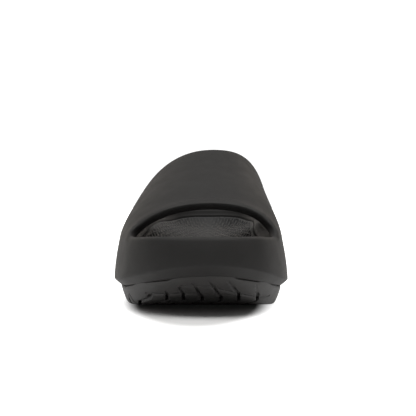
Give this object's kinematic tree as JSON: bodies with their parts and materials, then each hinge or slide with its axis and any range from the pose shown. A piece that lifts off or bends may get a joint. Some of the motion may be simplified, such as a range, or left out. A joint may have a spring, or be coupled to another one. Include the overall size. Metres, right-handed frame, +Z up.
{
  "type": "sport slide sandal",
  "caption": "Moulded foam slide for the right foot: one wide bare strap grown out of a high side wall, textured footbed and grooved sole.",
  "frame": {"origin": "on the floor, under the middle of the slide's outline seen from above", "axes": "+X to the inner side of the right foot, +Y from the toe to the heel, +Z up"},
  "size_m": [0.112, 0.288, 0.0964],
  "materials": {
    "foam_black": "matte moulded foam",
    "outsole_black": "satin moulded foam rubber",
    "insole_black": "matte, finely textured"
  },
  "bodies": {
    "root": {"upper_and_midsole": "foam_black", "outsole": "outsole_black", "insole": "insole_black"}
  },
  "joints": []
}
